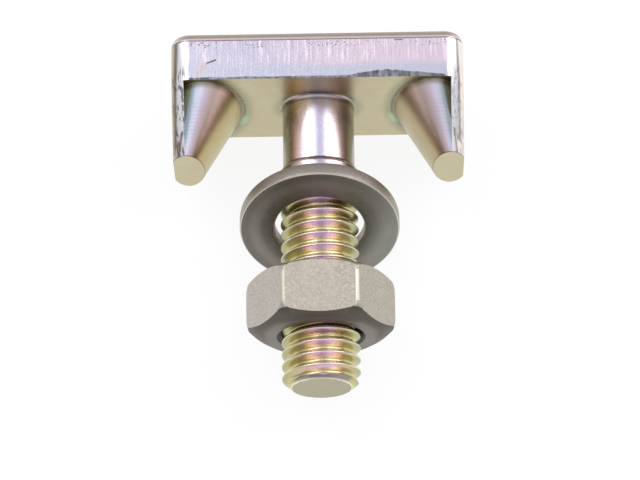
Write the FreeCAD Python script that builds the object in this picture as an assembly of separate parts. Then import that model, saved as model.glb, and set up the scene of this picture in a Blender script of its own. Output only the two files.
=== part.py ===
import FreeCAD, Part
import math
import os
from FreeCAD import Vector

# Clamp bolt with a two-pronged rectangular head, a plain washer and a hexagon nut.
# Sizes are in millimetres. Each piece is drawn upright, with the thread axis on Z, the
# head's seat face at z = 0 and the head above it, and the whole is laid down at the end.

# Head plate
head_length = 29.2
head_depth = 15.3
head_thickness = 5.2
head_corner = 1.9
head_top_round = 1.25
head_seat_chamfer = 0.15

# Prongs: each is an oval cone, cut flat on its outer side. A reach is from the oval's
# middle toward the shank, an inset from the flat side to that middle, and a margin from
# the plate's long sides to the oval.
prong_length = 6.75
prong_draft = 0.1
prong_base_inset = 3.2
prong_base_reach = 4.0
prong_base_margin = 0.8
prong_tip_inset = 1.35
prong_tip_reach = 1.8
prong_tip_margin = 3.6
prong_root_round = 0.4

# Web: the plate's end wall runs on down the flat side of each prong
web_thickness = 1.3
web_tip_margin = 4.5
web_tip_corner = 0.4

# Shank and thread
bolt_length = 30.0
shank_radius = 3.6
shank_root_chamfer = 0.35
thread_length = 22.4
thread_crest_radius = 3.925
thread_runout = 0.9
point_radius = 2.9
point_length = 0.75

# Washer, leaning on the thread as far as its hole lets it
washer_radius = 8.0
washer_hole_clearance = 0.575
washer_thickness = 1.5
washer_edge_chamfer = 0.15
washer_hole_chamfer = 0.25
washer_rub_clearance = 0.03
washer_height = -12.6

# Nut, a little below the washer's lower rim
nut_across_flats = 13.0
nut_height = 6.1
nut_face_inset = 0.35
nut_chamfer_angle = 30.0
nut_corner_round = 0.35
nut_bore_clearance = 0.05
nut_countersink = 0.4
nut_gap = 2.1

# Length by which a cutting tool passes the face that it cuts, and the largest distance
# at which two places count as the same
overrun = 1.0
same = 1e-4


def revolved(points):
    outline = Part.makePolygon([Vector(r, 0, z) for r, z in points + points[:1]])
    return Part.Face(outline).revolve(Vector(0, 0, 0), Vector(0, 0, 1), 360)


def upright_edges(shape):
    return [e for e in shape.Edges if abs(e.BoundBox.ZLength - shape.BoundBox.ZLength) < same]


def edges_at(shape, height):
    return [e for e in shape.Edges
            if abs(e.BoundBox.ZMin - height) < same and abs(e.BoundBox.ZMax - height) < same]


def edges_around(shape, radius):
    return [e for e in shape.Edges if e.Closed and abs(e.BoundBox.XMax - radius) < same]


def runs_along_x(edge):
    return isinstance(edge.Curve, Part.Line) and edge.BoundBox.XLength > same


def rounded_block(length, depth, height, corner):
    # Stands on z = 0 with its middle on the axis
    block = Part.makeBox(length, depth, height, Vector(-length / 2, -depth / 2, 0))
    return block.makeFillet(corner, upright_edges(block))


def head_plate():
    plate = rounded_block(head_length, head_depth, head_thickness, head_corner)
    plate = plate.makeFillet(head_top_round, edges_at(plate, head_thickness))
    # The seat face is chamfered along its long sides, and the webs go on from its ends
    return plate.makeChamfer(head_seat_chamfer, [e for e in edges_at(plate, 0) if runs_along_x(e)])


def oval(height, flat_x, inset, reach, half_depth):
    # An ellipse that is longer along Y, cut along its flat side, which faces +X
    cut = math.acos(inset / reach)
    ellipse = Part.Ellipse(Vector(flat_x - inset, 0, height), half_depth, reach)
    ellipse.XAxis = Vector(0, 1, 0)
    arc = Part.Arc(ellipse, cut - math.pi / 2, 1.5 * math.pi - cut).toShape()
    return Part.Wire([arc, Part.makeLine(arc.Vertexes[-1].Point, arc.Vertexes[0].Point)])


def rounded_outline(height, length, depth, corner):
    edges = edges_at(rounded_block(length, depth, overrun, corner), 0)
    outline = Part.Wire(Part.sortEdges(edges)[0])
    outline.translate(Vector(0, 0, height))
    return outline


def prong():
    flat = head_length / 2
    tip_flat = flat - prong_draft
    base = oval(0, flat, prong_base_inset, prong_base_reach, head_depth / 2 - prong_base_margin)
    tip = oval(-prong_length, tip_flat, prong_tip_inset, prong_tip_reach,
               head_depth / 2 - prong_tip_margin)
    cone = Part.makeLoft([base, tip], True, True)
    plate_outline = rounded_outline(0, head_length, head_depth, head_corner)
    tip_outline = rounded_outline(-prong_length, 2 * tip_flat, head_depth - 2 * web_tip_margin,
                                  web_tip_corner)
    walls = Part.makeLoft([plate_outline, tip_outline], True, True)
    slab = Part.makeBox(web_thickness + overrun, head_depth, prong_length,
                        Vector(flat - web_thickness, -head_depth / 2, -prong_length))
    return cone.fuse(walls.common(slab))


def shank():
    end = -bolt_length
    full = end + thread_length
    return revolved([(0, end), (point_radius, end), (thread_crest_radius, end + point_length),
                     (thread_crest_radius, full), (shank_radius, full + thread_runout),
                     (shank_radius, -shank_root_chamfer), (shank_radius + shank_root_chamfer, 0),
                     (0, 0)])


def bolt():
    prongs = [prong(), prong().mirror(Vector(0, 0, 0), Vector(1, 0, 0))]
    blank = head_plate().fuse(prongs + [shank()]).removeSplitter()
    ovals = [e for e in edges_at(blank, 0) if isinstance(e.Curve, Part.Ellipse)]
    return blank.makeFillet(prong_root_round, ovals)


def lean_angle():
    # The tilt at which the ends of the hole's plain wall all but touch the thread's crests
    half_wall = washer_thickness / 2 - washer_hole_chamfer
    nearest = thread_crest_radius + washer_rub_clearance
    reach = math.hypot(washer_hole_radius, half_wall)
    return math.acos(nearest / reach) - math.atan2(half_wall, washer_hole_radius)


washer_hole_radius = thread_crest_radius + washer_hole_clearance
washer_lean = lean_angle()
washer_low = washer_height - washer_radius * math.sin(washer_lean) - washer_thickness / 2
nut_top = washer_low - nut_gap


def washer():
    low, high = -washer_thickness / 2, washer_thickness / 2
    ring = revolved([(washer_hole_radius, low), (washer_radius, low), (washer_radius, high),
                     (washer_hole_radius, high)])
    ring = ring.makeChamfer(washer_edge_chamfer, edges_around(ring, washer_radius))
    ring = ring.makeChamfer(washer_hole_chamfer, edges_around(ring, washer_hole_radius))
    ring.rotate(Vector(0, 0, 0), Vector(1, 0, 0), -math.degrees(washer_lean))
    ring.translate(Vector(0, 0, washer_height))
    return ring


def nut():
    corner = nut_across_flats / math.sqrt(3)
    bottom = nut_top - nut_height
    hexagon = [Vector(corner * math.cos(math.radians(a)), corner * math.sin(math.radians(a)), bottom)
               for a in range(0, 361, 60)]
    block = Part.Face(Part.makePolygon(hexagon)).extrude(Vector(0, 0, nut_height))
    block = block.makeFillet(nut_corner_round, upright_edges(block))
    face_radius = nut_across_flats / 2 - nut_face_inset
    drop = (corner - face_radius) * math.tan(math.radians(nut_chamfer_angle))
    turned = revolved([(0, bottom), (face_radius, bottom), (corner, bottom + drop),
                       (corner, nut_top - drop), (face_radius, nut_top), (0, nut_top)])
    bore = thread_crest_radius + nut_bore_clearance
    mouth = bore + nut_countersink + overrun
    hole = revolved([(0, bottom - overrun), (mouth, bottom - overrun), (bore, bottom + nut_countersink),
                     (bore, nut_top - nut_countersink), (mouth, nut_top + overrun),
                     (0, nut_top + overrun)])
    return block.common(turned).cut(hole).removeSplitter()


os.makedirs("parts", exist_ok=True)
pieces = {"t_head_bolt": bolt(), "washer": washer(), "hex_nut": nut()}
for name, shape in pieces.items():
    # Lying: the head points along +Y, the thread along -Y
    shape.rotate(Vector(0, 0, 0), Vector(1, 0, 0), -90)
    solids = shape.Solids
    box = shape.BoundBox
    print(name, "solids", len(solids), "valid", shape.isValid(), "volume", round(shape.Volume, 2),
          "faces", len(shape.Faces), "box", [round(v, 2) for v in (box.XMin, box.YMin, box.ZMin,
                                                                   box.XMax, box.YMax, box.ZMax)])
    Part.Compound(solids).exportStep("parts/" + name + ".step")
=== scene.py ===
import bmesh
import bpy
from math import asin, ceil, cos, hypot, pi, radians, sin, sqrt, tan
from mathutils import Matrix, Vector


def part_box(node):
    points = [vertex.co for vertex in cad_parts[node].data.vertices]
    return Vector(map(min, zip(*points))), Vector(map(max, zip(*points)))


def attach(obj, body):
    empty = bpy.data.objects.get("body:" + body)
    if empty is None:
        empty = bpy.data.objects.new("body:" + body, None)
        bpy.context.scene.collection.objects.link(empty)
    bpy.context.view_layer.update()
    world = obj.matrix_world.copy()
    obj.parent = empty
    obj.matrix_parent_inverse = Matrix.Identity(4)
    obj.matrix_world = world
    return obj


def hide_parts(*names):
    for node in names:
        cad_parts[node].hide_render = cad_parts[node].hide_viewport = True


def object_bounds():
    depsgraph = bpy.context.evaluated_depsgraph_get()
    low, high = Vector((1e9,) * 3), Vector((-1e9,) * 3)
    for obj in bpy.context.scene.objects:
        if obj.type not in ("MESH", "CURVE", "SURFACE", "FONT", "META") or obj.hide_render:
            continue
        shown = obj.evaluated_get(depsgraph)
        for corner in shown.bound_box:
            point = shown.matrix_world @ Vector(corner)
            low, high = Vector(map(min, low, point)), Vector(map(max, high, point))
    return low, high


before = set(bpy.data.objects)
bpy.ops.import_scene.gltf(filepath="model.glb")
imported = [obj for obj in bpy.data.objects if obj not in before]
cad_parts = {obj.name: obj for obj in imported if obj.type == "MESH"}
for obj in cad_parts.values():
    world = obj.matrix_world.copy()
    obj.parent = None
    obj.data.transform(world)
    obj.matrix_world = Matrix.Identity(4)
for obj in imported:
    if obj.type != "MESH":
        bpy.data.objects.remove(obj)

cadLow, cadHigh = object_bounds()
millimetre = 0.001
# The largest distance in millimetres at which two places count as the same
same = 1e-3
# Pieces are drawn upright in millimetres, head up, and then laid down as the frame lies
layDown = Matrix.Rotation(-pi / 2, 4, "X") @ Matrix.Scale(millimetre, 4)
print("frame loaded")


# Mesh helpers

def nodeSize(node):
    low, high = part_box(node)
    return low / millimetre, high / millimetre


def bevelEdges(bm, edges, width, segments):
    bmesh.ops.bevel(bm, geom=edges, offset=width, offset_type="OFFSET", segments=segments,
                    profile=0.5, affect="EDGES", material=-1, clamp_overlap=True)


def extrudeFace(bm, face, replace=True):
    # gives the new face; the old one stays only where it closes the form
    grown = bmesh.ops.extrude_face_region(bm, geom=[face])["geom"]
    if replace:
        bmesh.ops.delete(bm, geom=[face], context="FACES_ONLY")
    return [g for g in grown if isinstance(g, bmesh.types.BMFace)][0]


def meshPiece(name, bm):
    bmesh.ops.recalc_face_normals(bm, faces=bm.faces)
    mesh = bpy.data.meshes.new(name)
    bm.to_mesh(mesh)
    bm.free()
    piece = bpy.data.objects.new(name, mesh)
    bpy.context.scene.collection.objects.link(piece)
    return piece


def combine(piece, tool, operation):
    # joins or cuts with a second piece, which is used up
    step = piece.modifiers.new("combine", "BOOLEAN")
    step.operation = operation
    step.solver = "EXACT"
    step.object = tool
    applyModifiers(piece)
    bpy.data.objects.remove(tool)


def applyModifiers(piece):
    bpy.context.view_layer.update()
    seen = piece.evaluated_get(bpy.context.evaluated_depsgraph_get())
    mesh = bpy.data.meshes.new_from_object(seen)
    piece.modifiers.clear()
    piece.data = mesh


def finishPiece(piece, body, material, node, sharpAngle=32):
    piece.data.transform(layDown)
    piece.data.shade_smooth()
    piece.data.set_sharp_from_angle(angle=radians(sharpAngle))
    weighted = piece.modifiers.new("evenShading", "WEIGHTED_NORMAL")
    weighted.keep_sharp = True
    weighted.weight = 80
    piece.data.materials.clear()
    piece.data.materials.append(material)
    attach(piece, body)
    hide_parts(node)


# Shader helpers

class Wire:
    # one socket, so that shader maths reads as arithmetic
    def __init__(self, finish, socket):
        self.finish = finish
        self.socket = socket

    def maths(self, operation, *values):
        return self.finish.maths(operation, *values)

    def __add__(self, other):
        return self.maths("ADD", self, other)

    def __sub__(self, other):
        return self.maths("SUBTRACT", self, other)

    def __rsub__(self, other):
        return self.maths("SUBTRACT", other, self)

    def __mul__(self, other):
        return self.maths("MULTIPLY", self, other)

    def __truediv__(self, other):
        return self.maths("DIVIDE", self, other)

    __radd__ = __add__
    __rmul__ = __mul__

    def size(self):
        return self.maths("ABSOLUTE", self)

    def step(self, low, high):
        # 0 below low, 1 above high and smooth between; high may be the smaller
        return self.finish.node("ShaderNodeMapRange", {"interpolation_type": "SMOOTHSTEP"},
                                {"Value": self, "From Min": low, "From Max": high})


class Finish:
    # one material under construction
    def __init__(self, name):
        self.material = bpy.data.materials.new(name)
        self.material.use_nodes = True
        self.tree = self.material.node_tree
        self.shader = self.tree.nodes["Principled BSDF"]

    def node(self, kind, settings, inputs, output=0):
        made = self.tree.nodes.new(kind)
        for key, value in settings.items():
            if key == "stops":
                self.setStops(made.color_ramp, value)
            else:
                setattr(made, key, value)
        for key, value in inputs.items():
            self.feed(made.inputs[key], value)
        return Wire(self, made.outputs[output])

    def feed(self, socket, value):
        if isinstance(value, Wire):
            self.tree.links.new(value.socket, socket)
        else:
            socket.default_value = value

    def setStops(self, ramp, stops):
        while len(ramp.elements) < len(stops):
            ramp.elements.new(0.5)
        for element, (place, colour) in zip(ramp.elements, stops):
            element.position = place
            element.color = (*colour, 1)

    def maths(self, operation, *values):
        return self.node("ShaderNodeMath", {"operation": operation}, dict(enumerate(values)))

    def nearLine(self, place, points, width):
        # 1 on a line through the points and 0 beyond its width
        nearest = None
        for start, end in zip(points, points[1:]):
            run = Vector(end) - Vector(start)
            offset = self.node("ShaderNodeVectorMath", {"operation": "SUBTRACT"}, {0: place, 1: start})
            along = self.node("ShaderNodeVectorMath", {"operation": "DOT_PRODUCT"},
                              {0: offset, 1: run / run.length_squared}, "Value")
            inside = self.maths("MINIMUM", self.maths("MAXIMUM", along, 0.0), 1.0)
            foot = self.node("ShaderNodeVectorMath", {"operation": "SCALE"}, {0: run, "Scale": inside})
            reach = self.node("ShaderNodeVectorMath", {"operation": "DISTANCE"}, {0: offset, 1: foot},
                              "Value")
            nearest = reach if nearest is None else self.maths("MINIMUM", nearest, reach)
        return nearest.step(width, width * 0.4)

    def place(self):
        # object coordinates in millimetres
        raw = self.node("ShaderNodeTexCoord", {}, {}, "Object")
        return self.node("ShaderNodeVectorMath", {"operation": "SCALE"}, {0: raw, "Scale": 1 / millimetre})

    def facing(self):
        return self.node("ShaderNodeTexCoord", {}, {}, "Normal")

    def split(self, vector):
        parts = self.tree.nodes.new("ShaderNodeSeparateXYZ")
        self.tree.links.new(vector.socket, parts.inputs[0])
        return [Wire(self, part) for part in parts.outputs]

    def stretched(self, vector, scale):
        return self.node("ShaderNodeMapping", {"vector_type": "POINT"}, {"Vector": vector, "Scale": scale})

    def noise(self, vector, scale, detail=3.0, roughness=0.55):
        return self.node("ShaderNodeTexNoise", {"noise_dimensions": "3D"},
                         {"Vector": vector, "Scale": scale, "Detail": detail, "Roughness": roughness})

    def ramp(self, value, stops):
        return self.node("ShaderNodeValToRGB", {"stops": stops}, {0: value})

    def mix(self, amount, first, second):
        inputs = {0: amount, 6: self.opaque(first), 7: self.opaque(second)}
        return self.node("ShaderNodeMix", {"data_type": "RGBA"}, inputs, 2)

    def opaque(self, colour):
        return colour if isinstance(colour, Wire) else (*colour, 1)

    def bump(self, height, distance):
        inputs = {"Strength": 1.0, "Distance": distance * millimetre, "Height": height}
        self.feed(self.shader.inputs["Normal"], self.node("ShaderNodeBump", {}, inputs))

    def glowWhereSeen(self, strength, share):
        # white for the camera and in reflections, and it still takes some of the shadow
        path = self.tree.nodes.new("ShaderNodeLightPath")
        seen = (Wire(self, path.outputs["Is Camera Ray"]) + Wire(self, path.outputs["Is Glossy Ray"])
                + Wire(self, path.outputs["Is Transmission Ray"]))
        glow = self.node("ShaderNodeEmission", {}, {"Strength": strength})
        both = self.node("ShaderNodeMixShader", {}, {0: seen * share, 2: glow})
        mixer = both.socket.node
        self.tree.links.new(self.shader.outputs[0], mixer.inputs[1])
        self.tree.links.new(both.socket, self.tree.nodes["Material Output"].inputs["Surface"])

    def set(self, **sockets):
        names = {"colour": "Base Color", "roughness": "Roughness", "metallic": "Metallic"}
        for key, value in sockets.items():
            self.feed(self.shader.inputs[names[key]], self.opaque(value) if key == "colour" else value)


# Head: a plate with a web and an oval cone at each end, joined into one forging

boltLow, boltHigh = nodeSize("t_head_bolt")

plate = {
    "length": boltHigh.x - boltLow.x,
    "depth": boltHigh.z - boltLow.z,
    "thickness": boltHigh.y,
    "corner": 1.9,
    "cornerSegments": 12,
    "topRound": 1.08,
    "topSegments": 8,
    "seatRound": 0.1,
    "webThickness": 1.3,
}

prong = {
    "length": 6.75,
    "draft": 0.03,
    "webHalfDepth": 3.15,
    "webStop": 0.04,
    "baseCentre": 3.2,
    "baseReach": 3.8,
    "baseHalfDepth": 7.1,
    "tipCentre": 1.35,
    "tipReach": 1.72,
    "tipHalfDepth": 4.05,
    "rootRound": 0.2,
    "tipRound": 0.1,
    "flatInset": 0.02,
    "insideHead": 0.5,
    "segments": 120,
}


def makePlate():
    bm = bmesh.new()
    bmesh.ops.create_cube(bm, size=1)
    bmesh.ops.scale(bm, vec=(plate["length"], plate["depth"], plate["thickness"]), verts=bm.verts)
    bmesh.ops.translate(bm, vec=(0, 0, plate["thickness"] / 2), verts=bm.verts)
    upright = [e for e in bm.edges if abs(e.verts[0].co.z - e.verts[1].co.z) > 1]
    bevelEdges(bm, upright, plate["corner"], plate["cornerSegments"])
    addWebs(bm)
    top = [e for e in bm.edges if min(v.co.z for v in e.verts) > plate["thickness"] - same]
    bevelEdges(bm, top, plate["topRound"], plate["topSegments"])
    seat = [e for e in bm.edges if max(abs(v.co.z) for v in e.verts) < same
            and abs(e.verts[0].co.y - e.verts[1].co.y) < same and abs(e.verts[0].co.y) > 1]
    bevelEdges(bm, seat, plate["seatRound"], 2)
    return meshPiece("forgedHead", bm)


def addWebs(bm):
    # the end strips of the seat face run on down and narrow toward the prongs' tips
    inner = plate["length"] / 2 - plate["webThickness"]
    for side in (-1, 1):
        seat = [f for f in bm.faces if f.normal.z < -0.9 and f.calc_center_median().z < 0.01]
        cut = {v for f in seat for v in f.verts} | {e for f in seat for e in f.edges} | set(seat)
        bmesh.ops.bisect_plane(bm, geom=list(cut), plane_co=(side * inner, 0, 0), plane_no=(1, 0, 0))
    tipFlat = plate["length"] / 2 - prong["draft"]
    narrow = (tipFlat - inner) / plate["webThickness"]
    squeeze = prong["webHalfDepth"] / (plate["depth"] / 2)
    strips = [f for f in bm.faces if f.normal.z < -0.9 and abs(f.calc_center_median().x) > inner]
    for strip in strips:
        side = 1 if strip.calc_center_median().x > 0 else -1
        for v in extrudeFace(bm, strip).verts:
            v.co.x = side * (inner + (abs(v.co.x) - inner) * narrow)
            v.co.y *= squeeze
            v.co.z = prong["webStop"] - prong["length"]


def makeProng(side):
    bm = bmesh.new()
    bmesh.ops.create_circle(bm, cap_ends=True, segments=prong["segments"], radius=1)
    cap = list(bm.faces)[0]
    flare = prong["rootRound"]
    rings = [(prong["insideHead"], flare), (0.0, flare)]
    for angle in (18, 36, 54, 72, 90):
        drop = flare * sin(radians(angle))
        rings.append((-drop, flare - flare * sqrt(1 - (1 - drop / flare) ** 2)))
    rings += [(-prong["length"] * part, 0.0) for part in (0.25, 0.45, 0.65, 0.85, 1.0)]
    last = Matrix.Identity(4)
    for number, (height, extra) in enumerate(rings):
        share = max(0, -height) / prong["length"]
        flat = plate["length"] / 2 - prong["draft"] * share
        inset = prong["baseCentre"] + (prong["tipCentre"] - prong["baseCentre"]) * share
        reach = prong["baseReach"] + (prong["tipReach"] - prong["baseReach"]) * share + extra
        half = prong["baseHalfDepth"] + (prong["tipHalfDepth"] - prong["baseHalfDepth"]) * share + extra
        half = min(half, plate["depth"] / 2 - plate["seatRound"])
        ring = Matrix.Translation((side * (flat - inset), 0, height)) @ Matrix.Diagonal((reach, half, 1, 1))
        if number:
            cap = extrudeFace(bm, cap, number > 1)
        bmesh.ops.transform(bm, matrix=ring @ last.inverted(), verts=cap.verts)
        last = ring
    cutFlat(bm, side)
    tip = [e for e in bm.edges if max(v.co.z for v in e.verts) < same - prong["length"]]
    bevelEdges(bm, tip, prong["tipRound"], 4)
    return meshPiece("prong", bm)


def cutFlat(bm, side):
    top = Vector((side * (plate["length"] / 2 - prong["flatInset"]), 0, 0))
    lean = prong["draft"] / prong["length"]
    cut = bmesh.ops.bisect_plane(bm, geom=list(bm.verts) + list(bm.edges) + list(bm.faces), plane_co=top,
                                 plane_no=Vector((side, 0, -lean)).normalized(), clear_outer=True)
    edges = [g for g in cut["geom_cut"] if isinstance(g, bmesh.types.BMEdge)]
    bmesh.ops.contextual_create(bm, geom=edges)


# Thread: one pitch of outline spun along a helix, for the bolt and for the inside of the nut

thread = {
    "pitch": 1.25,
    "crest": 3.91,
    "root": 3.17,
    "crestWidth": 0.15,
    "rootWidth": 0.24,
    "round": 0.055,
    "front": -14.95,
    "turnSteps": 96,
}


def spunThread(low, high, crest, root, crestWidth, rootWidth):
    bm = bmesh.new()
    pitch = thread["pitch"]
    turns = ceil((high - low) / pitch) + 3
    # the middle of a crest crosses the front at thread["front"]
    start = thread["front"] - ceil((thread["front"] - low) / pitch + 1.5) * pitch
    outline = [(-pitch / 2, root), (-pitch / 2 + rootWidth / 2, root), (-crestWidth / 2, crest),
               (crestWidth / 2, crest), (pitch / 2 - rootWidth / 2, root), (pitch / 2, root)]
    verts = [bm.verts.new((0, -radius, start + along)) for along, radius in outline]
    for pair in zip(verts, verts[1:]):
        bm.edges.new(pair)
    bmesh.ops.bevel(bm, geom=verts[1:-1], offset=thread["round"], offset_type="OFFSET", segments=2,
                    profile=0.5, affect="VERTICES", material=-1)
    flanks = [e for e in bm.edges if abs(e.verts[0].co.y - e.verts[1].co.y) > 0.3]
    bmesh.ops.subdivide_edges(bm, edges=flanks, cuts=3)
    bmesh.ops.spin(bm, geom=list(bm.verts) + list(bm.edges), cent=(0, 0, 0), axis=(0, 0, 1),
                   dvec=(0, 0, pitch / thread["turnSteps"]), angle=2 * pi, steps=thread["turnSteps"],
                   use_merge=False)
    turn = list(bm.verts) + list(bm.edges) + list(bm.faces)
    for number in range(1, turns):
        copy = bmesh.ops.duplicate(bm, geom=turn)["geom"]
        bmesh.ops.translate(bm, vec=(0, 0, pitch * number),
                            verts=[g for g in copy if isinstance(g, bmesh.types.BMVert)])
    bmesh.ops.remove_doubles(bm, verts=bm.verts, dist=0.002)
    return bm


def setRadius(vert, radius):
    scale = radius / hypot(vert.co.x, vert.co.y)
    vert.co.x *= scale
    vert.co.y *= scale


def trimEnds(bm, low, high):
    for height, up in ((low, -1), (high, 1)):
        bmesh.ops.bisect_plane(bm, geom=list(bm.verts) + list(bm.edges) + list(bm.faces), dist=1e-5,
                               plane_co=(0, 0, height), plane_no=(0, 0, up), clear_outer=True)


shank = {
    "radius": 3.6,
    "rootRound": 0.35,
    "shoulder": -6.75,
    "shoulderLength": 0.45,
    "grooves": -7.5,
    "runout": 1.2,
    "end": boltLow.y,
    "pointRadius": 2.9,
    "pointLength": 0.75,
    "insideHead": 0.3,
    "spare": 0.4,
    "endInset": 0.25,
}


def smoothStep(share):
    share = min(1, max(0, share))
    return share * share * (3 - 2 * share)


def shankRadius(height, radius):
    # plain under the head, a shoulder, then grooves that run in, and a chamfer at the thread's end
    filled = smoothStep((height - shank["grooves"]) / shank["runout"] + 1)
    radius += (thread["crest"] - radius) * filled
    plain = smoothStep((height - shank["shoulder"]) / shank["shoulderLength"] + 1)
    radius += (shank["radius"] - radius) * plain
    if height > -shank["rootRound"]:
        rise = min(1, 1 + height / shank["rootRound"])
        radius += shank["rootRound"] * (1 - sqrt(1 - rise * rise))
    slope = (thread["crest"] - shank["pointRadius"]) / shank["pointLength"]
    return min(radius, shank["pointRadius"] + (height - shank["end"]) * slope)


def makeShank():
    bm = spunThread(shank["end"], shank["insideHead"], thread["crest"], thread["root"],
                    thread["crestWidth"], thread["rootWidth"])
    # a spare length past the end takes the end's radius and is cut off last
    trimEnds(bm, shank["end"] - shank["spare"], shank["insideHead"])
    for vert in bm.verts:
        radius = shankRadius(max(vert.co.z, shank["end"]), hypot(vert.co.x, vert.co.y))
        setRadius(vert, radius)
    trimEnds(bm, shank["end"], shank["insideHead"])
    bmesh.ops.holes_fill(bm, edges=[e for e in bm.edges if e.is_boundary])
    endFace = min(bm.faces, key=lambda f: f.calc_center_median().z)
    bmesh.ops.inset_region(bm, faces=[endFace], thickness=shank["endInset"], depth=0)
    return meshPiece("threadedShank", bm)


# Washer: a flat ring with rolled edges, leaning on the thread

washerLow, washerHigh = nodeSize("washer")

washer = {
    "radius": (washerHigh.x - washerLow.x) / 2,
    "hole": 4.5,
    "thickness": 1.5,
    "centre": (washerLow.y + washerHigh.y) / 2,
    "edgeRound": 0.2,
    "holeRound": 0.24,
    "steps": 160,
}


def washerLean():
    # from how far the frame's washer reaches along the bolt
    reach = (washerHigh.y - washerLow.y) / 2
    half = washer["thickness"] / 2
    slant = hypot(washer["radius"], half)
    return asin(reach / slant) - asin(half / slant)


def makeWasher():
    bm = bmesh.new()
    half = washer["thickness"] / 2
    corners = [(washer["hole"], -half), (washer["radius"], -half), (washer["radius"], half),
               (washer["hole"], half)]
    verts = [bm.verts.new((radius, 0, height)) for radius, height in corners]
    edges = [bm.edges.new((verts[i], verts[(i + 1) % 4])) for i in range(4)]
    bmesh.ops.spin(bm, geom=verts + edges, cent=(0, 0, 0), axis=(0, 0, 1), angle=2 * pi,
                   steps=washer["steps"], use_merge=True)
    for radius, width in ((washer["radius"], washer["edgeRound"]), (washer["hole"], washer["holeRound"])):
        rims = [e for e in bm.edges if abs(e.verts[0].co.z - e.verts[1].co.z) < same
                and all(abs(hypot(v.co.x, v.co.y) - radius) < same for v in e.verts)]
        bevelEdges(bm, rims, width, 4)
    bmesh.ops.rotate(bm, cent=(0, 0, 0), matrix=Matrix.Rotation(-washerLean(), 3, "X"), verts=bm.verts)
    bmesh.ops.translate(bm, vec=(0, 0, washer["centre"]), verts=bm.verts)
    return meshPiece("plainWasher", bm)


# Nut: a hexagon turned down to a chamfer at both faces, with a countersunk threaded bore

nutLow, nutHigh = nodeSize("hex_nut")

nut = {
    "acrossFlats": nutHigh.z - nutLow.z,
    "bottom": nutLow.y,
    "top": nutHigh.y,
    "topInset": 0.4,
    "bottomInset": 0.8,
    "chamferAngle": 30,
    "cornerRound": 0.35,
    "barrel": 0.34,
    "barrelPower": 0.6,
    "mouth": 4.4,
    "overrun": 0.3,
    "minor": 3.34,
    "major": 4.0,
    "clearance": 0.05,
    "steps": 160,
}


def lathe(points, steps):
    bm = bmesh.new()
    verts = [bm.verts.new((radius, 0, height)) for radius, height in points]
    edges = [bm.edges.new(pair) for pair in zip(verts, verts[1:] + verts[:1])]
    bmesh.ops.spin(bm, geom=verts + edges, cent=(0, 0, 0), axis=(0, 0, 1), angle=2 * pi, steps=steps,
                   use_merge=True)
    bmesh.ops.remove_doubles(bm, verts=bm.verts, dist=same)
    return bm


def makeNut():
    corner = nut["acrossFlats"] / sqrt(3)
    middle = (nut["bottom"] + nut["top"]) / 2
    half = (nut["top"] - nut["bottom"]) / 2
    bm = bmesh.new()
    bmesh.ops.create_cone(bm, cap_ends=True, segments=6, radius1=corner, radius2=corner, depth=2 * half)
    # corners lie to the left and right, so that a flat faces the front
    bmesh.ops.rotate(bm, cent=(0, 0, 0), matrix=Matrix.Rotation(radians(30), 3, "Z"), verts=bm.verts)
    bmesh.ops.translate(bm, vec=(0, 0, middle), verts=bm.verts)
    upright = [e for e in bm.edges if abs(e.verts[0].co.z - e.verts[1].co.z) > 1]
    bevelEdges(bm, upright, nut["cornerRound"], 5)
    body = meshPiece("hexNut", bm)
    slope = tan(radians(nut["chamferAngle"]))
    edge = corner - nut["barrel"]
    low = nut["acrossFlats"] / 2 - nut["bottomInset"]
    high = nut["acrossFlats"] / 2 - nut["topInset"]
    lowFall = (edge - low) * slope
    highFall = (edge - high) * slope
    # the corners swell a little between the two cones
    swell = [(edge + nut["barrel"] * sin(pi * part) ** nut["barrelPower"],
              lowFall - half + (2 * half - lowFall - highFall) * part)
             for part in (0.03, 0.08, 0.15, 0.25, 0.37, 0.5, 0.63, 0.75, 0.85, 0.92, 0.97)]
    turned = lathe([(0, -half), (low, -half), (edge, lowFall - half), *swell, (edge, half - highFall),
                    (high, half), (0, half)], nut["steps"])
    bmesh.ops.translate(turned, vec=(0, 0, middle), verts=turned.verts)
    combine(body, meshPiece("turned", turned), "INTERSECT")
    combine(body, makeTap(), "DIFFERENCE")
    return body


def makeTap():
    # the bore as a solid: a threaded rod that flares past both faces
    low, high = nut["bottom"] - nut["overrun"], nut["top"] + nut["overrun"]
    bm = spunThread(low, high, nut["major"], nut["minor"], thread["crestWidth"] + 2 * nut["clearance"],
                    thread["rootWidth"] - 2 * nut["clearance"])
    trimEnds(bm, low, high)
    for vert in bm.verts:
        inside = min(vert.co.z - nut["bottom"], nut["top"] - vert.co.z)
        setRadius(vert, max(hypot(vert.co.x, vert.co.y), nut["mouth"] - inside))
    bmesh.ops.holes_fill(bm, edges=[e for e in bm.edges if e.is_boundary])
    return meshPiece("tap", bm)


# Finishes: a thin yellow film that turns lavender, rose and green with the slope of the metal, with painted
# highlights, painted reflections and painted shade among its colours.
# Places and widths are in millimetres, as the pieces lie

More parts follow.
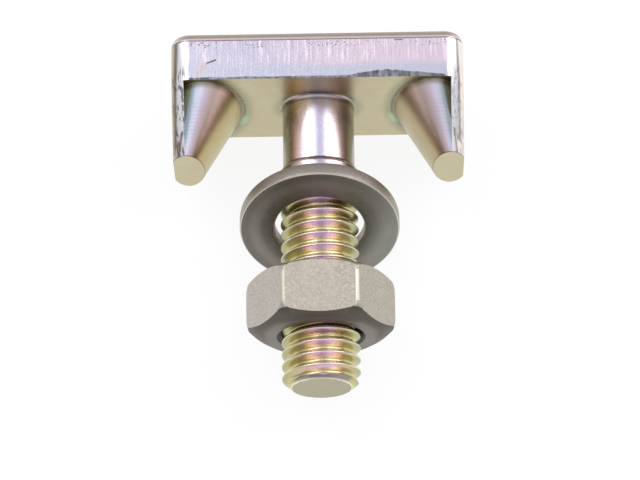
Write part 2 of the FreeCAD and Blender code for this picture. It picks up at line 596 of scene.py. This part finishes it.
plateFilm = {
    "left": (0.55, 0.52, 0.62),
    "right": (0.66, 0.55, 0.63),
    "lower": (0.51, 0.51, 0.61),
    "paleStreak": (0.90, 0.78, 0.86),
    "darkStreak": (0.44, 0.43, 0.58),
    # painted highlight and painted dark reflection round the upright roundings
    "ends": [(0.0, (0.93, 0.92, 0.95)), (0.58, (0.95, 0.94, 0.95)), (0.70, (0.22, 0.18, 0.16)),
             (0.79, (0.28, 0.23, 0.19)), (0.88, (0.54, 0.46, 0.36)), (1.0, (0.54, 0.46, 0.35))],
    "rightRoundingHighlight": (0.94, 0.86, 0.82),
    "wrinkle": (0.15, 0.13, 0.12),
    # painted reflections round the back's rounding: a dark line, a pale highlight, then taupe
    "backRoundingLight": [(0.0, (0.30, 0.25, 0.25)), (0.1, (0.24, 0.19, 0.18)), (0.17, (0.80, 0.68, 0.68)),
                     (0.26, (0.82, 0.70, 0.70)), (0.4, (0.58, 0.47, 0.42)), (0.6, (0.47, 0.38, 0.33)),
                     (0.8, (0.29, 0.24, 0.20)), (1.0, (0.46, 0.39, 0.31))],
    "backCloud": (0.56, 0.50, 0.33),
    "backLine": (0.32, 0.27, 0.22),
}

plateMarks = {
    "pitRow": 3.7,
    "pit": (0.20, 0.17, 0.22),
    "scratchLine": [(-10.1, 2.1, 7.65), (-11.0, 1.75, 7.65)],
    "nickLine": [(7.8, 4.0, 7.65), (8.5, 4.0, 7.65)],
    "scratch": (0.14, 0.11, 0.10),
    "wedgeLine": [(-11.1, 1.7, 7.65), (-11.7, 0.9, 7.65), (-12.0, 0.1, 7.65)],
    "wedge": (0.60, 0.44, 0.40),
    "burr": {"middle": 6.8, "left": 3.8, "right": 5.6, "height": 0.6},
    "lowerEdge": (0.085, 0.10, 0.10),
}


def headFinish():
    f = Finish("headPlating")
    place = f.place()
    y = f.split(place)[1]
    nx, ny, nz = f.split(f.facing())
    onPlate = y.step(-0.02, 0.005)
    colour = f.mix(onPlate, prongColour(f, place, nx, nz), plateColour(f, place, nx, ny))
    colour = f.mix(ny.step(-0.8, -0.97), colour, underColour(f, place))
    tip = -prong["length"]
    outline = y.step(tip + 0.15, tip + 0.09) * ny.step(-0.95, -0.8)
    colour = f.mix(outline * 0.6, colour, prongFilm["tipOutline"])
    # marks on the front of the plate
    onFront = onPlate * nz.step(0.9, 0.98)
    pitted = pits(f, place) * onFront
    scratched = f.nearLine(place, plateMarks["scratchLine"], 0.11)
    scratched = (scratched + f.nearLine(place, plateMarks["nickLine"], 0.07)) * onFront
    wedge = f.nearLine(place, plateMarks["wedgeLine"], 0.26) * onFront
    colour = f.mix(pitted * 0.55, colour, plateMarks["pit"])
    colour = f.mix(scratched * 0.85, colour, plateMarks["scratch"])
    colour = f.mix(wedge * 0.75, colour, plateMarks["wedge"])
    colour = f.mix(lowerEdge(f, place) * onPlate * nz.step(0.5, 0.9), colour, plateMarks["lowerEdge"])
    patches = f.noise(place, 0.8, 4)
    f.set(colour=colour, metallic=1.0, roughness=0.26 + patches * 0.1)
    grain = f.noise(place, 7, 4, 0.6)
    f.bump(grain * 0.4 + drawnLines(f, place) * onFront * 0.5 - pitted - scratched, 0.03)
    return f.material


def drawnLines(f, place):
    return f.noise(f.stretched(place, (5, 0.3, 1)), 1.0, 4)


def plateColour(f, place, nx, ny):
    # lavender in front, rosier to the right, with pale and dark streaks in its upper half
    x, y = f.split(place)[:2]
    clouds = f.noise(f.stretched(place, (0.35, 0.6, 1)), 1.0, 3)
    front = f.mix((x + clouds * 8).step(-4, 8), plateFilm["left"], plateFilm["right"])
    front = f.mix((y + clouds).step(2.5, 1.5), front, plateFilm["lower"])
    drawn = drawnLines(f, place)
    upper = y.step(1.2, 2.6)
    front = f.mix(drawn.step(0.52, 0.68) * upper * 0.8, front, plateFilm["paleStreak"])
    front = f.mix(drawn.step(0.47, 0.36) * upper * 0.5, front, plateFilm["darkStreak"])
    front = f.mix(nx.size().step(0.1, 0.18), front, endColour(f, place, nx))
    return f.mix(ny.step(0.005, 0.02), front, backColour(f, place, ny))


def backColour(f, place, ny):
    # a painted dark reflection band and a pale painted highlight band round the back's rounding, then
    # clouds and fine lines on the back
    colour = f.ramp(ny, plateFilm["backRoundingLight"])
    onBack = ny.step(0.9, 0.99)
    clouds = f.noise(place, 0.5, 4)
    lines = f.noise(f.stretched(place, (0.5, 1, 4)), 1.0, 4)
    colour = f.mix(clouds.step(0.3, 0.8) * onBack * 0.6, colour, plateFilm["backCloud"])
    return f.mix(lines.step(0.45, 0.75) * onBack * 0.4, colour, plateFilm["backLine"])


def endColour(f, place, nx):
    # painted light on the rounded upright edges: a near-white painted highlight, then a dark painted
    # reflection, and the end walls are taupe
    colour = f.ramp(nx.size(), plateFilm["ends"])
    # a painted highlight on the right end's rounding
    onRight = nx.step(0.62, 0.78) * nx.step(0.998, 0.97)
    colour = f.mix(onRight, colour, plateFilm["rightRoundingHighlight"])
    # wrinkles low on the roundings, stronger at the left end
    streaks = f.noise(f.stretched(place, (4.2, 0.42, 2.4)), 1.0, 4, 0.65)
    bent = f.noise(f.stretched(place, (1.3, 0.9, 0.7)), 1.0, 3)
    wrinkles = (streaks + bent * 0.35).step(0.69, 0.76) * nx.size().step(0.97, 0.85)
    wrinkles = wrinkles * f.split(place)[1].step(2.6, 0.6)
    return f.mix(wrinkles * (nx.step(0.4, -0.4) * 0.45 + 0.4), colour, plateFilm["wrinkle"])


def pits(f, place):
    # small pits in clusters, in a row near the back edge
    y = f.split(place)[1]
    spots = f.node("ShaderNodeTexVoronoi", {"feature": "F1"},
                   {"Vector": f.stretched(place, (2.8, 4.2, 1)), "Scale": 1.0})
    clusters = f.noise(f.stretched(place, (0.45, 0.2, 1)), 1.0, 2).step(0.42, 0.52)
    row = (y - plateMarks["pitRow"]).size().step(0.42, 0.2)
    return spots.step(0.36, 0.2) * clusters * row


def lowerEdge(f, place):
    # a dark trimmed edge along the front, with a ragged lens of burr to the right
    x, y = f.split(place)[:2]
    waves = f.noise(f.stretched(place, (0.35, 0, 0)), 1.0, 3) * 0.4 + 0.02
    ragged = f.noise(f.stretched(place, (2.2, 0.8, 1)), 1.0, 4) - 0.5
    burr = plateMarks["burr"]
    along = x - burr["middle"]
    lens = f.maths("MINIMUM", along / burr["left"] + 1, 1 - along / burr["right"])
    height = waves + f.maths("MAXIMUM", lens, 0.0) * (ragged * 0.35 + burr["height"])
    corner = plate["length"] / 2 - plate["corner"]
    inside = (y - height).step(0.06, -0.04) * x.size().step(corner + 0.2, corner - 0.1)
    return inside * (ragged * 1.5 + 0.76)


prongFilm = {
    # the first stops are painted shade in the valley between the web and the cone
    "filmWithValleyShade": [(0.0, (0.44, 0.37, 0.27)), (0.12, (0.32, 0.26, 0.20)), (0.18, (0.40, 0.50, 0.60)),
               (0.3, (0.40, 0.50, 0.60)), (0.38, (0.70, 0.80, 0.88)), (0.5, (0.86, 0.81, 1.0)),
               (0.62, (0.74, 0.64, 0.76)), (0.75, (0.76, 0.60, 0.60)), (0.87, (0.86, 0.65, 0.57)),
               (0.915, (0.69, 0.51, 0.41)), (0.945, (0.64, 0.48, 0.28)), (1.0, (0.54, 0.46, 0.21))],
    "behind": (0.50, 0.57, 0.31),
    "rightProng": (0.36, 0.29, 0.24),
    "ridge": (0.36, 0.32, 0.42),
    # painted shade where the cone meets the seat
    "root": (0.28, 0.23, 0.14),
    "tipOutline": (0.20, 0.17, 0.13),
}


def prongColour(f, place, nx, nz):
    # from the web round to the shank: painted shade in the valley beside the web, slate blue, lavender,
    # rose and ochre, and green behind
    x, y = f.split(place)[:2]
    side = f.maths("SIGN", x)
    turn = f.maths("DIVIDE", nx * side * -1, f.maths("SQRT", nx * nx + nz * nz + 1e-4))
    wander = f.noise(place, 1.1, 4)
    spread = turn + wander * 0.14 - 0.07
    filmWithValleyShade = f.ramp(spread * 0.5 + 0.5, prongFilm["filmWithValleyShade"])
    cone = f.mix(nz.step(0.08, -0.3), filmWithValleyShade, prongFilm["behind"])
    cone = f.mix(x.step(-2, 2) * 0.3, cone, prongFilm["rightProng"])
    # faint ridges run across the front, half way down
    ridges = f.node("ShaderNodeTexWave", {"wave_type": "BANDS", "bands_direction": "Y"},
                    {"Vector": place, "Scale": 0.9, "Distortion": 1.5, "Detail": 2.0})
    ridged = nz.step(0.6, 0.9) * y.step(-6, -4.5) * y.step(-0.8, -2.5)
    cone = f.mix(ridges * ridged * 0.2, cone, prongFilm["ridge"])
    # painted shade in dull olive where the cone meets the seat
    cone = f.mix(y.step(-0.7, -0.15) * (wander + 0.3), cone, prongFilm["root"])
    web = plate["length"] / 2 - plate["webThickness"]
    return f.mix(x.size().step(web + 0.02, web + 0.06), cone, endColour(f, place, nx))


seatFilm = {
    "plain": (0.56, 0.49, 0.31),
    "brushed": (0.50, 0.46, 0.30),
    "cloud": (0.60, 0.55, 0.36),
    # painted shade round the roots of the shank and of the prongs
    "shankRootShade": (0.27, 0.31, 0.17),
    "prongRootShade": (0.22, 0.24, 0.15),
    "prongRootDeepShade": (0.13, 0.12, 0.06),
    # a painted highlight in mint green
    "mintHighlight": (0.42, 0.66, 0.42),
    "mintDepth": 3.0,
    "reflection": (0.32, 0.22, 0.12),
    "gold": (0.62, 0.47, 0.14),
    "goldLine": [(-2.4, 0, 4.6), (-2.2, 0, 6.6)],
}


def underColour(f, place):
    # the seat face, and the prongs' tips
    x, y, z = f.split(place)
    brushed = f.noise(f.stretched(place, (0.5, 1, 2.5)), 1.0, 4)
    clouds = f.noise(place, 0.5, 3)
    colour = f.mix(brushed.step(0.4, 0.65) * 0.3, seatFilm["plain"], seatFilm["brushed"])
    colour = f.mix(clouds.step(0.45, 0.65) * 0.3, colour, seatFilm["cloud"])
    # painted shade on the seat: greener and darker close to the roots of the shank and of the prongs
    onSeat = y.step(-0.6, -0.4)
    fromAxis = f.maths("SQRT", x * x + z * z)
    colour = f.mix(fromAxis.step(5.0, 3.9) * onSeat * 0.6, colour, seatFilm["shankRootShade"])
    oval = prongOval(f, x, z)
    mottle = f.noise(place, 3.0, 4, 0.65)
    colour = f.mix(oval.step(1.3, 1.02) * onSeat * (mottle * 1.3 - 0.05), colour, seatFilm["prongRootShade"])
    colour = f.mix(oval.step(1.05, 0.99) * onSeat * (mottle + 0.2), colour, seatFilm["prongRootDeepShade"])
    # a painted mint highlight at the edge of each prong's root
    mintHighlight = (z + seatFilm["mintDepth"]).size().step(1.8, 0.4) * (oval - 1.05).size().step(0.13, 0.03)
    colour = f.mix(mintHighlight * onSeat * 0.55, colour, seatFilm["mintHighlight"])
    # the shank's reflection in front of its root, brown with a gold patch
    reflected = x.size().step(3.9, 2.9) * z.step(3.2, 4.0)
    colour = f.mix(reflected * 0.6, colour, seatFilm["reflection"])
    return f.mix(f.nearLine(place, seatFilm["goldLine"], 1.2) * 0.4, colour, seatFilm["gold"])


def prongOval(f, x, z):
    # 0 at the middle of a prong's root and 1 all along its edge
    centre = plate["length"] / 2 - prong["baseCentre"]
    across = (x.size() - centre) / (prong["baseReach"] + prong["rootRound"])
    deep = z / (prong["baseHalfDepth"] + prong["rootRound"])
    return f.maths("SQRT", across * across + deep * deep)


shankFilm = {
    "width": 7.86,
    # painted highlights and painted dark reflection bands across the plain shank
    "plain": [(0.0, (0.62, 0.62, 0.38)), (0.05, (0.38, 0.35, 0.24)), (0.12, (0.58, 0.51, 0.60)),
              (0.2, (0.82, 0.65, 0.70)), (0.25, (1.0, 0.80, 0.80)), (0.33, (0.90, 0.76, 0.80)),
              (0.38, (0.84, 0.82, 0.88)), (0.46, (0.56, 0.51, 0.68)), (0.62, (0.70, 0.66, 0.80)),
              (0.72, (0.72, 0.55, 0.56)), (0.78, (0.60, 0.49, 0.52)), (0.86, (0.61, 0.53, 0.62)),
              (0.95, (0.46, 0.43, 0.38)), (1.0, (0.58, 0.58, 0.36))],
    "speck": (0.28, 0.22, 0.21),
    "thread": [(0.0, (0.40, 0.42, 0.20)), (0.12, (0.52, 0.47, 0.24)), (0.3, (0.66, 0.49, 0.36)),
               (0.45, (0.76, 0.52, 0.62)), (0.6, (0.74, 0.56, 0.68)), (0.75, (0.68, 0.50, 0.38)),
               (0.9, (0.50, 0.47, 0.24)), (1.0, (0.38, 0.41, 0.20))],
    "lilac": (0.60, 0.53, 0.80),
    "lilacFrom": -19,
    "lilacTo": -16,
    "valley": (0.62, 0.56, 0.24),
    "crest": (0.86, 0.80, 0.62),
    # painted shade and painted highlight lines at the shoulder, and painted shade in the first groove
    "shoulderShadeLine": (0.16, 0.12, 0.11),
    "shoulderHighlightLine": (0.92, 0.86, 0.88),
    "firstGrooveShade": (0.36, 0.30, 0.30),
    # painted shade at the root, and a painted gold reflection beside it
    "root": (0.26, 0.20, 0.17),
    "gold": (0.78, 0.66, 0.34),
    "goldLine": [(-2.6, -1.05, 2.5), (-1.9, -1.0, 3.1)],
    "scratch": (1.0, 0.85, 0.68),
    "scratchLine": [(-2.95, -2.05, 2.06), (-2.4, -1.75, 2.68), (-1.7, -1.5, 3.17), (-1.0, -1.35, 3.46),
                    (-0.4, -1.25, 3.58)],
    "point": (0.24, 0.20, 0.27),
    "endEdge": (0.80, 0.74, 0.56),
    "endFace": (0.37, 0.335, 0.21),
}


def shankFinish():
    f = Finish("shankPlating")
    place = f.place()
    x, y, z = f.split(place)
    ny = f.split(f.facing())[1]
    across = x / shankFilm["width"] + 0.5
    grooves = shank["grooves"]
    colour = f.mix(y.step(grooves, grooves - 0.3), plainBandsWithHighlights(f, place, across),
                   threadColour(f, x, y, z, across))
    # the shoulder where the thread's blank begins: a painted dark shade line over a pale painted highlight
    # line, and painted shade in the first groove
    under = y - shank["shoulder"]
    colour = f.mix((under + 0.03).size().step(0.14, 0.04) * 0.8, colour, shankFilm["shoulderShadeLine"])
    colour = f.mix((under + 0.27).size().step(0.1, 0.04) * 0.6, colour, shankFilm["shoulderHighlightLine"])
    firstGrooveShade = under.step(-0.35, -0.5) * under.step(-1.15, -0.95)
    colour = f.mix(firstGrooveShade * 0.45, colour, shankFilm["firstGrooveShade"])
    # painted shade in a darker ring at the root, with a painted gold reflection to the left of it
    colour = f.mix(y.step(-0.75, -0.45) * 0.5, colour, shankFilm["root"])
    colour = f.mix(f.nearLine(place, shankFilm["goldLine"], 0.42) * 0.8, colour, shankFilm["gold"])
    colour = f.mix(f.nearLine(place, shankFilm["scratchLine"], 0.08) * 0.8, colour, shankFilm["scratch"])
    # the point's chamfer is a dull lilac in front, with a cream edge round the end face
    fromEnd = y - shank["end"]
    chamfer = fromEnd.step(0.8, 0.65) * ny.step(-0.3, -0.5) * z.step(1.2, 2.2)
    colour = f.mix(chamfer * 0.8, colour, shankFilm["point"])
    colour = f.mix(fromEnd.step(0.18, 0.08), colour, shankFilm["endEdge"])
    colour = f.mix(fromEnd.step(0.4, 0.1) * ny.step(-0.8, -0.97), colour, shankFilm["endFace"])
    patches = f.noise(place, 0.8, 4)
    f.set(colour=colour, metallic=1.0, roughness=0.2 + patches * 0.12)
    f.bump(f.noise(place, 7, 3), 0.012)
    return f.material


def plainBandsWithHighlights(f, place, across):
    # bands along the shank, painted highlights and painted dark reflections among them, with dark specks
    # toward both sides
    specks = f.noise(f.stretched(place, (7, 4, 7)), 1.0, 3, 0.7).step(0.5, 0.66)
    aside = (across - 0.5).size().step(0.2, 0.32)
    return f.mix(specks * aside * 0.35, f.ramp(across, shankFilm["plain"]), shankFilm["speck"])


def threadColour(f, x, y, z, across):
    # the turns above the nut are more lilac than those below it
    lilac = (across - 0.5).size().step(0.24, 0.06) * y.step(shankFilm["lilacFrom"], shankFilm["lilacTo"])
    colour = f.mix(lilac * 0.35, f.ramp(across, shankFilm["thread"]), shankFilm["lilac"])
    radius = f.maths("SQRT", x * x + z * z)
    colour = f.mix(radius.step(thread["root"] + 0.33, thread["root"] + 0.08) * 0.75, colour,
                   shankFilm["valley"])
    return f.mix(radius.step(thread["crest"] - 0.06, thread["crest"] - 0.01) * 0.7, colour,
                 shankFilm["crest"])


washerFilm = {
    "left": (0.20, 0.182, 0.158),
    "right": (0.29, 0.29, 0.265),
    "patch": (0.29, 0.265, 0.24),
    "mottle": (0.14, 0.13, 0.12),
    "paleRing": (0.38, 0.36, 0.33),
    "paleRadius": 6.5,
    "holeRing": (0.12, 0.11, 0.10),
    # a painted highlight on the edge of the face
    "edge": (0.74, 0.70, 0.58),
    "rim": (0.40, 0.36, 0.32),
    "rimMottle": (0.28, 0.25, 0.225),
    "rimLine": (0.42, 0.34, 0.34),
}


def washerFinish():
    f = Finish("washerPlating")
    place = f.place()
    x = f.split(place)[0]
    patches = f.noise(place, 0.7, 4)
    mottle = f.noise(place, 3.5, 4, 0.65)
    # a dull face, paler to the right
    face = f.mix(x.step(-4, 7), washerFilm["left"], washerFilm["right"])
    face = f.mix(patches.step(0.45, 0.7) * 0.4, face, washerFilm["patch"])
    face = f.mix(mottle.step(0.5, 0.75) * 0.25, face, washerFilm["mottle"])
    # a faint pale ring half way out, and a darker one round the hole
    out = f.node("ShaderNodeVectorMath", {"operation": "DISTANCE"}, {0: place, 1: (0, washer["centre"], 0)},
                 "Value")
    face = f.mix((out - washerFilm["paleRadius"]).size().step(0.9, 0.2) * 0.4, face, washerFilm["paleRing"])
    face = f.mix(out.step(washer["hole"] + 1.1, washer["hole"] + 0.3) * 0.35, face, washerFilm["holeRing"])
    # a brighter rim with drawn lines, and a pale painted highlight on the edge between the two
    drawn = f.noise(f.stretched(place, (6, 0.5, 6)), 1.0, 3)
    rim = f.mix(mottle.step(0.4, 0.7) * 0.5, washerFilm["rim"], washerFilm["rimMottle"])
    rim = f.mix(drawn.step(0.5, 0.65) * 0.4, rim, washerFilm["rimLine"])
    lean = washerLean()
    flatness = f.node("ShaderNodeVectorMath", {"operation": "DOT_PRODUCT"},
                      {0: f.facing(), 1: (0, cos(lean), -sin(lean))}, "Value").size()
    colour = f.mix(flatness.step(0.98, 0.9), face, washerFilm["edge"])
    colour = f.mix(flatness.step(0.8, 0.6), colour, rim)
    f.set(colour=colour, metallic=1.0, roughness=0.34 + patches * 0.15)
    f.bump(f.noise(place, 5, 4), 0.02)
    return f.material


nutFilm = {
    "left": (0.56, 0.515, 0.475),
    "right": (0.50, 0.46, 0.385),
    "front": (0.43, 0.39, 0.33),
    "darkGrain": (0.33, 0.30, 0.26),
    "paleGrain": (0.62, 0.58, 0.49),
    "patch": (0.58, 0.54, 0.46),
    # a painted highlight on the corners, painted shade on the chamfer and the lower face
    "corner": (0.62, 0.60, 0.49),
    "chamfer": (0.118, 0.108, 0.09),
    "lowerFaceShade": (0.225, 0.20, 0.175),
}


def nutFinish():
    f = Finish("nutPlating")
    place = f.place()
    nx, ny, nz = f.split(f.facing())
    patches = f.noise(place, 0.6, 4)
    grain = f.noise(place, 5, 4, 0.7)
    flats = f.mix(nx.step(-0.5, 0.5), nutFilm["left"], nutFilm["right"])
    flats = f.mix(nz.step(0.9, 0.98), flats, nutFilm["front"])
    flats = f.mix(grain.step(0.48, 0.62) * 0.6, flats, nutFilm["darkGrain"])
    flats = f.mix(grain.step(0.46, 0.36) * 0.5, flats, nutFilm["paleGrain"])
    flats = f.mix(patches.step(0.5, 0.7) * 0.3, flats, nutFilm["patch"])
    # painted highlights on the rounded upright corners, and painted shade on the chamfer and the face below
    turn = f.maths("ARCTAN2", nx, nz) / (pi / 3)
    corner = (f.maths("FRACT", turn + 0.5) * 2 - 1).size()
    flats = f.mix(corner.step(0.25, 0.7) * ny.size().step(0.2, 0.1), flats, nutFilm["corner"])
    colour = f.mix(ny.step(-0.3, -0.6), flats, nutFilm["chamfer"])
    colour = f.mix(ny.step(-0.93, -0.99), colour, nutFilm["lowerFaceShade"])
    f.set(colour=colour, metallic=1.0, roughness=0.36 + patches * 0.12)
    f.bump(grain, 0.03)
    return f.material


# Build

head = makePlate()
combine(head, makeProng(-1), "UNION")
combine(head, makeProng(1), "UNION")
finishPiece(head, "bolt", headFinish(), "t_head_bolt")
print("head made", len(head.data.polygons))

shankPiece = makeShank()
finishPiece(shankPiece, "bolt", shankFinish(), "t_head_bolt", 40)
print("shank made", len(shankPiece.data.polygons))

washerPiece = makeWasher()
finishPiece(washerPiece, "washer", washerFinish(), "washer")
print("washer made", len(washerPiece.data.polygons))

nutPiece = makeNut()
finishPiece(nutPiece, "nut", nutFinish(), "hex_nut")
print("nut made", len(nutPiece.data.polygons))


# Studio: a white floor, a soft world and two soft boxes over the bolt

studio = {
    "floorSize": 4.0,
    "floorColour": (0.93, 0.93, 0.93),
    "floorGlow": 1.03,
    "floorShare": 0.86,
    "worldTop": (0.86, 0.86, 0.90),
    "worldSide": (0.45, 0.45, 0.46),
    "worldFade": (0.05, 0.85),
    "leftBox": {"tilt": -29, "distance": 0.7, "width": 0.24, "height": 0.6, "radiance": 2.6},
    "rightBox": {"tilt": 48, "distance": 0.7, "width": 0.38, "height": 0.6, "radiance": 2.2},
    "rise": 0.386,
}


def makeFloor():
    bm = bmesh.new()
    bmesh.ops.create_grid(bm, x_segments=1, y_segments=1, size=studio["floorSize"] / 2)
    bmesh.ops.translate(bm, vec=(0, 0, cadLow.z), verts=bm.verts)
    floor = meshPiece("floor", bm)
    f = Finish("floorPaper")
    f.set(colour=studio["floorColour"], roughness=0.9)
    f.shader.inputs["Specular IOR Level"].default_value = 0.0
    f.glowWhereSeen(studio["floorGlow"], studio["floorShare"])
    floor.data.materials.append(f.material)


def makeSoftBox(name, box):
    light = bpy.data.lights.new(name, "AREA")
    light.shape = "RECTANGLE"
    light.size = box["width"]
    light.size_y = box["height"]
    light.energy = box["radiance"] * pi * box["width"] * box["height"]
    lamp = bpy.data.objects.new(name, light)
    bpy.context.scene.collection.objects.link(lamp)
    reach = sqrt(1 - studio["rise"] ** 2)
    toward = Vector((reach * sin(radians(box["tilt"])), studio["rise"], reach * cos(radians(box["tilt"]))))
    lamp.location = toward * box["distance"]
    lamp.rotation_euler = toward.to_track_quat("Z", "Y").to_euler()
    lamp.visible_camera = False


def makeWorld():
    world = bpy.data.worlds.new("studio")
    bpy.context.scene.world = world
    world.use_nodes = True
    tree = world.node_tree
    coordinates = tree.nodes.new("ShaderNodeTexCoord")
    parts = tree.nodes.new("ShaderNodeSeparateXYZ")
    ramp = tree.nodes.new("ShaderNodeValToRGB")
    side, top = ramp.color_ramp.elements
    side.position, top.position = studio["worldFade"]
    side.color = (*studio["worldSide"], 1)
    top.color = (*studio["worldTop"], 1)
    tree.links.new(coordinates.outputs["Generated"], parts.inputs[0])
    tree.links.new(parts.outputs["Z"], ramp.inputs[0])
    path = tree.nodes.new("ShaderNodeLightPath")
    seen = tree.nodes.new("ShaderNodeMix")
    seen.data_type = "RGBA"
    seen.inputs[7].default_value = (1, 1, 1, 1)
    tree.links.new(path.outputs["Is Camera Ray"], seen.inputs[0])
    tree.links.new(ramp.outputs[0], seen.inputs[6])
    tree.links.new(seen.outputs[2], tree.nodes["Background"].inputs["Color"])


makeFloor()
makeWorld()
makeSoftBox("leftBox", studio["leftBox"])
makeSoftBox("rightBox", studio["rightBox"])

# Camera: at the photograph's angle, with a long lens
viewpoint = {
    "place": (0.00294, -0.14486, 0.34550),
    "turn": (0.361, 0.013, -0.012),
    "lens": 207.8,
}

camera = bpy.data.objects.new("camera", bpy.data.cameras.new("camera"))
bpy.context.scene.collection.objects.link(camera)
camera.location = viewpoint["place"]
camera.rotation_euler = viewpoint["turn"]
camera.data.lens = viewpoint["lens"]
camera.data.sensor_width = 36
camera.data.clip_start = 0.01
bpy.context.scene.camera = camera
bpy.context.scene.view_settings.view_transform = "Standard"
print("studio made")
